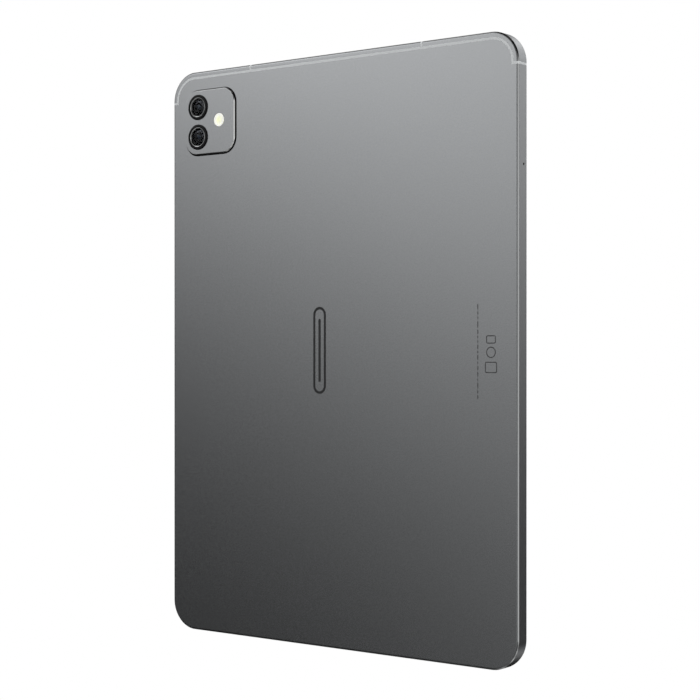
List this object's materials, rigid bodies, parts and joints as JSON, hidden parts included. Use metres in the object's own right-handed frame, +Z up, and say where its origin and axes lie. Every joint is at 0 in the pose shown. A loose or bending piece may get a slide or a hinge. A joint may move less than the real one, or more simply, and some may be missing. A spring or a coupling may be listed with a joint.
{
  "type": "tablet computer",
  "caption": "Slim portrait tablet computer with an aluminium rear shell, raised camera island, glass display front, side keys, card tray and edge port",
  "frame": {"origin": "centre of the bottom short edge, where the upright tablet rests", "axes": "+Z up along the long side, +Y out of the screen, -Y out of the back with the camera island, +X to the right as seen from behind"},
  "size_m": [0.1882, 0.0088, 0.2584],
  "materials": {
    "anodised_aluminium": "fine bead-blasted, dark grey anodised",
    "antenna_plastic": "satin moulded plastic",
    "ring_black": "gloss black",
    "lens_glass": "coated lens glass",
    "module_black": "matte black",
    "flash_window": "milky translucent",
    "phosphor": "yellow phosphor",
    "spring_steel": "bright stamped steel",
    "front_glass": "polished black-bordered glass",
    "gasket_black": "soft foam adhesive",
    "panel_dark": "polariser",
    "diffuser_white": "white diffuser",
    "mid_metal": "pressed sheet",
    "pouch": "wrapped laminate pouch",
    "circuit_board": "solder mask",
    "flex_film": "polyimide film",
    "dark_plastic": "fine textured moulding",
    "speaker_cloth": "acoustic mesh",
    "card_plastic": "satin card",
    "seal_rubber": "silicone"
  },
  "bodies": {
    "tablet": {"rear_housing": "anodised_aluminium", "antenna_band_left": "anodised_aluminium", "antenna_band_center": "anodised_aluminium", "antenna_band_right": "anodised_aluminium", "antenna_inlay": "antenna_plastic", "camera_island": "anodised_aluminium", "camera_ring_upper": "ring_black", "camera_ring_lower": "ring_black", "camera_glass_upper": "lens_glass", "camera_glass_lower": "lens_glass", "camera_module_upper": "module_black", "camera_module_lower": "module_black", "flash_lens": "flash_window", "flash_led": "phosphor", "camera_bracket": "spring_steel", "cover_glass": "front_glass", "display_gasket": "gasket_black", "lcd_panel": "panel_dark", "backlight": "diffuser_white", "mid_plate": "mid_metal", "front_camera": "module_black", "battery_cell_left": "pouch", "battery_cell_right": "pouch", "battery_board": "circuit_board", "main_board": "circuit_board", "processor_shield": "spring_steel", "power_shield": "spring_steel", "radio_shield": "spring_steel", "sub_board": "circuit_board", "main_flex": "flex_film", "display_flex": "flex_film", "usb_shell": "spring_steel", "usb_tongue": "dark_plastic", "speaker_top_left": "dark_plastic", "speaker_top_right": "dark_plastic", "speaker_bottom_left": "dark_plastic", "speaker_bottom_right": "dark_plastic", "speaker_mesh_top_left": "speaker_cloth", "speaker_mesh_top_right": "speaker_cloth", "speaker_mesh_bottom_left": "speaker_cloth", "speaker_mesh_bottom_right": "speaker_cloth", "side_microphone": "spring_steel", "power_switch": "spring_steel", "volume_switch_up": "spring_steel", "volume_switch_down": "spring_steel", "key_flex": "flex_film", "card_reader": "spring_steel", "board_screw_1": "spring_steel", "board_screw_2": "spring_steel", "board_screw_3": "spring_steel", "board_screw_4": "spring_steel", "board_screw_5": "spring_steel", "board_screw_6": "spring_steel"},
    "power_key": {"power_button": "anodised_aluminium"},
    "volume_key": {"volume_rocker": "anodised_aluminium"},
    "tray": {"card_tray": "anodised_aluminium", "nano_card": "card_plastic", "tray_gasket": "seal_rubber"},
    "eject_pin": {"eject_rod": "spring_steel"},
    "eject_arm": {"eject_lever": "spring_steel"}
  },
  "joints": [
    {"name": "power_press", "type": "slide", "parent": "tablet", "child": "power_key", "axis": [0, 0, -1], "range_m": [0, 0.0003], "stiffness_N_per_m": 1500},
    {"name": "volume_press", "type": "hinge", "parent": "tablet", "child": "volume_key", "pos_m": [-0.0924, 0, 0.213], "axis": [0, 1, 0], "range_deg": [-1.4, 1.4], "stiffness_Nm_per_rad": 0.6},
    {"name": "tray_slide", "type": "slide", "parent": "tablet", "child": "tray", "axis": [-1, 0, 0], "range_m": [0, 0.026]},
    {"name": "eject_press", "type": "slide", "parent": "tablet", "child": "eject_pin", "axis": [1, 0, 0], "range_m": [0, 0.0012], "stiffness_N_per_m": 400},
    {"name": "eject_turn", "type": "hinge", "parent": "tablet", "child": "eject_arm", "pos_m": [-0.0667, -0.0004, 0.0342], "axis": [0, 1, 0], "range_deg": [0, 12]}
  ],
  "couplings": [
    {"joint": "eject_turn", "follows": "eject_press", "rad_per_m": 174.53}
  ]
}
